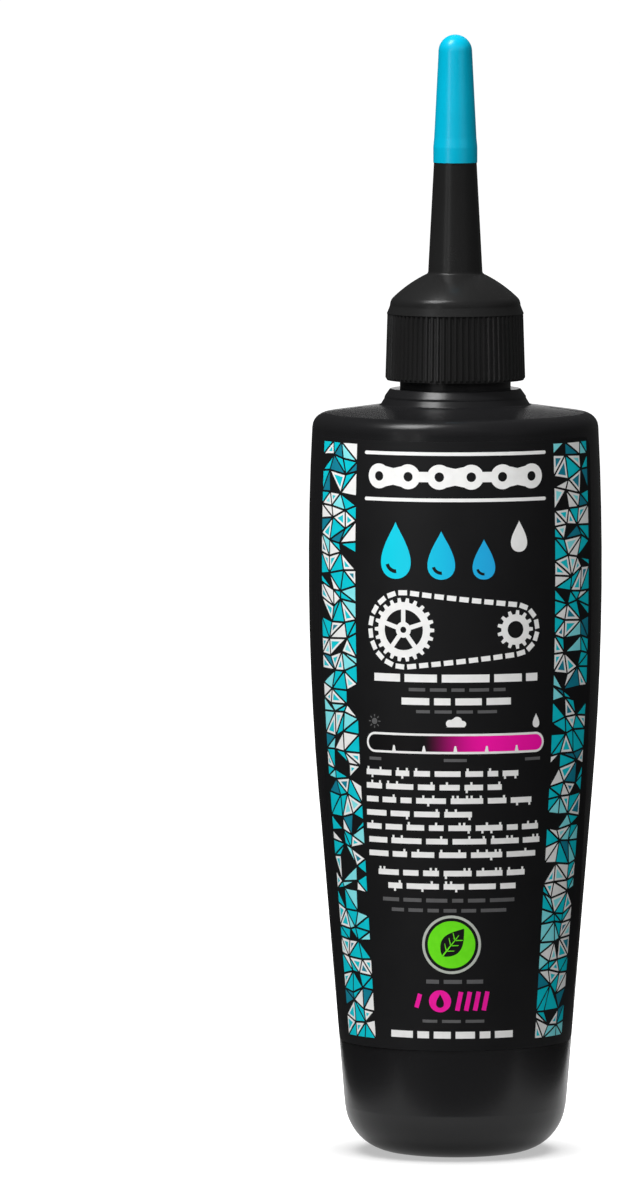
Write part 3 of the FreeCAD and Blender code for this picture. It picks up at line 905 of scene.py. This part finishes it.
camera = bpy.data.objects.new("camera", bpy.data.cameras.new("camera"))
bpy.context.scene.collection.objects.link(camera)
bpy.context.scene.camera = camera
camera.location = LOOK_AT + CAMERA_DISTANCE * Vector((0, -math.cos(CAMERA_RISE), math.sin(CAMERA_RISE)))
camera.rotation_euler = (LOOK_AT - camera.location).to_track_quat("-Z", "Y").to_euler()
frame_height = PHOTO_HEIGHT * MM_PER_PIXEL * MM
camera.data.sensor_width = SENSOR_WIDTH
camera.data.lens = SENSOR_WIDTH * CAMERA_DISTANCE / frame_height
camera.data.shift_x = (PHOTO_WIDTH / 2 - AXIS_PIXEL[0]) / PHOTO_HEIGHT
camera.data.shift_y = (AXIS_PIXEL[1] - PHOTO_HEIGHT / 2) / PHOTO_HEIGHT
camera.data.clip_end = VIEW_END


def stage_sheet(name, points, faces, material):
    """A piece of the studio, made of flat faces."""
    mesh = bpy.data.meshes.new(name)
    mesh.from_pydata(points, [], faces)
    mesh.materials.append(material)
    sheet = bpy.data.objects.new(name, mesh)
    bpy.context.scene.collection.objects.link(sheet)
    return sheet


FLOOR_DROP = 0.02 * MM
FLOOR_RADIUS = 5.5
WALL_HEIGHT = 1.2
FLOOR_SIDES = 96
FLOOR_ALBEDO = 0.5
SEEN_GLOW = {"near": 15 * MM, "far": 32 * MM, "near_level": 0.47, "far_level": 1.0}
# The glow seen in reflections stays lower near the bottle than the glow the camera sees: painted shade in the
# floor's reflection on the bottle's black foot and sides.
MIRRORED_GLOW = {"near": 0.1, "far": 1.0, "near_level": 0.25, "far_level": 1.0}

paper = bpy.data.materials.new("studio_paper")
paper.use_nodes = True
paper_nodes = paper.node_tree.nodes
paper_links = paper.node_tree.links
paper_shader = paper_nodes["Principled BSDF"]
paper_shader.inputs["Roughness"].default_value = 1.0
paper_shader.inputs["Specular IOR Level"].default_value = 0.0
paper_shader.inputs["Emission Color"].default_value = (1, 1, 1, 1)
rays = paper_nodes.new("ShaderNodeLightPath")
where = paper_nodes.new("ShaderNodeTexCoord")
away = paper_nodes.new("ShaderNodeVectorMath")
away.operation = "LENGTH"
paper_links.new(where.outputs["Object"], away.inputs[0])


def paper_step(operation, first, second):
    """Join two values of the paper's shader."""
    step = paper_nodes.new("ShaderNodeMath")
    step.operation = operation
    paper_links.new(first, step.inputs[0])
    paper_links.new(second, step.inputs[1])
    return step.outputs["Value"]


def paper_glow(near, far, near_level, far_level):
    """A glow that rises with the distance from the bottle. Seen by the camera, it lets the shadow stay close
    to the bottle; seen in reflections, it is painted shade that darkens the floor near the bottle.
    """
    ramp = paper_nodes.new("ShaderNodeMapRange")
    ramp.inputs["From Min"].default_value = near
    ramp.inputs["From Max"].default_value = far
    ramp.inputs["To Min"].default_value = near_level
    ramp.inputs["To Max"].default_value = far_level
    paper_links.new(away.outputs["Value"], ramp.inputs["Value"])
    return ramp.outputs["Result"]


mirrored = paper_step("MAXIMUM", rays.outputs["Is Glossy Ray"], rays.outputs["Is Transmission Ray"])
shown = paper_step("MAXIMUM", rays.outputs["Is Camera Ray"], mirrored)
seen_glow = paper_step("MULTIPLY", rays.outputs["Is Camera Ray"], paper_glow(**SEEN_GLOW))
mirrored_glow = paper_step("MULTIPLY", mirrored, paper_glow(**MIRRORED_GLOW))
paper_links.new(paper_step("MAXIMUM", seen_glow, mirrored_glow), paper_shader.inputs["Emission Strength"])
paper_tone = paper_nodes.new("ShaderNodeMix")
paper_tone.data_type = "RGBA"
paper_tone.inputs["A"].default_value = (0, 0, 0, 1)
paper_tone.inputs["B"].default_value = (FLOOR_ALBEDO, FLOOR_ALBEDO, FLOOR_ALBEDO, 1)
paper_links.new(shown, paper_tone.inputs["Factor"])
paper_links.new(paper_tone.outputs["Result"], paper_shader.inputs["Base Color"])

floor_points = []
for height in (-FLOOR_DROP, WALL_HEIGHT):
    for side in range(FLOOR_SIDES):
        turn = 2 * math.pi * side / FLOOR_SIDES
        floor_points.append((FLOOR_RADIUS * math.cos(turn), FLOOR_RADIUS * math.sin(turn), height))
floor_faces = [tuple(range(FLOOR_SIDES))]
for side in range(FLOOR_SIDES):
    after = (side + 1) % FLOOR_SIDES
    floor_faces.append((side, after, FLOOR_SIDES + after, FLOOR_SIDES + side))
floor = stage_sheet("studio_floor", floor_points, floor_faces, paper)

CARD_GREY = 0.06
CARD_TOP = 0.45
CARD_LIFT = 0.001
CARD_LEFT = -0.05
CARD_RIGHT = 0.057
CARD_NEAR = -0.12
CARD_BACK = 1.3
CARD_FRONT = -0.5
CARD_FRONT_ENDS = (-0.3, 0.5)
CARD_FOOT_BACK = -0.036
CARD_CORNERS = {
    "left": [(CARD_LEFT, CARD_NEAR, 0), (CARD_LEFT, CARD_BACK, CARD_TOP)],
    "right": [(CARD_RIGHT, CARD_NEAR, 0), (CARD_RIGHT, CARD_BACK, CARD_TOP)],
    "front": [(CARD_FRONT_ENDS[0], CARD_FRONT, 0), (CARD_FRONT_ENDS[1], CARD_FRONT, CARD_TOP)],
    "foot": [(CARD_FRONT_ENDS[0], CARD_FRONT, CARD_LIFT), (CARD_FRONT_ENDS[1], CARD_FOOT_BACK, CARD_LIFT)],
}

card_grey = bpy.data.materials.new("studio_card")
card_grey.use_nodes = True
card_shader = card_grey.node_tree.nodes["Principled BSDF"]
card_shader.inputs["Base Color"].default_value = (CARD_GREY, CARD_GREY, CARD_GREY, 1)
card_shader.inputs["Roughness"].default_value = 1.0
card_shader.inputs["Specular IOR Level"].default_value = 0.0
for card_name, (low, high) in CARD_CORNERS.items():
    if low[2] == high[2]:
        corners = [low, (high[0], low[1], low[2]), high, (low[0], high[1], low[2])]
    else:
        corners = [low, (high[0], high[1], low[2]), high, (low[0], low[1], high[2])]
    card = stage_sheet(f"studio_card_{card_name}", corners, [(0, 1, 2, 3)], card_grey)
    card.visible_camera = False
    card.visible_diffuse = False
    card.visible_transmission = False
    card.visible_shadow = False

ROOM_LIGHT = 0.12
room = bpy.data.worlds.new("room")
room.use_nodes = True
room.node_tree.nodes["Background"].inputs["Color"].default_value = (1, 1, 1, 1)
room.node_tree.nodes["Background"].inputs["Strength"].default_value = ROOM_LIGHT
bpy.context.scene.world = room


def softbox(name, bearing, rise, distance, width, height, power):
    """A soft rectangular lamp that faces the bottle.

    Its bearing is measured in degrees from the camera's side, and the right is positive."""
    lamp = bpy.data.lights.new(name, "AREA")
    lamp.shape = "RECTANGLE"
    lamp.size = width
    lamp.size_y = height
    lamp.energy = power
    holder = bpy.data.objects.new(name, lamp)
    bpy.context.scene.collection.objects.link(holder)
    bearing = math.radians(bearing)
    rise = math.radians(rise)
    out = Vector((math.sin(bearing) * math.cos(rise), -math.cos(bearing) * math.cos(rise), math.sin(rise)))
    holder.location = LOOK_AT + distance * out
    holder.rotation_euler = (-out).to_track_quat("-Z", "Y").to_euler()
    return holder


key = softbox("key_softbox", bearing=-18, rise=28, distance=1.2, width=0.8, height=0.8, power=8.9)
fill = softbox("fill_softbox", bearing=42, rise=20, distance=1.2, width=0.8, height=0.8, power=4)
top_lamp = softbox("top_softbox", bearing=-58, rise=62, distance=1.2, width=0.2, height=0.5, power=17)
back_lamp = softbox("back_softbox", bearing=170, rise=40, distance=1.2, width=0.8, height=0.8, power=15)
for lamp in (key, fill, back_lamp):
    lamp.visible_glossy = False
strip_lamp = softbox("strip_softbox", bearing=-38, rise=10, distance=1.2, width=0.11, height=0.5, power=2.2)
strip_lamp.visible_diffuse = False
floor_lamp = softbox("floor_softbox", bearing=0, rise=89, distance=1.1, width=1.2, height=1.2, power=22)
for lamp in (key, fill, top_lamp, strip_lamp, back_lamp, floor_lamp):
    lit = bpy.data.collections.new(f"lit_by_{lamp.name}")
    lit.objects.link(floor)
    lamp.light_linking.receiver_collection = lit
    lit.collection_objects[0].light_linking.link_state = "INCLUDE" if lamp == floor_lamp else "EXCLUDE"

bpy.context.scene.view_settings.view_transform = "Standard"
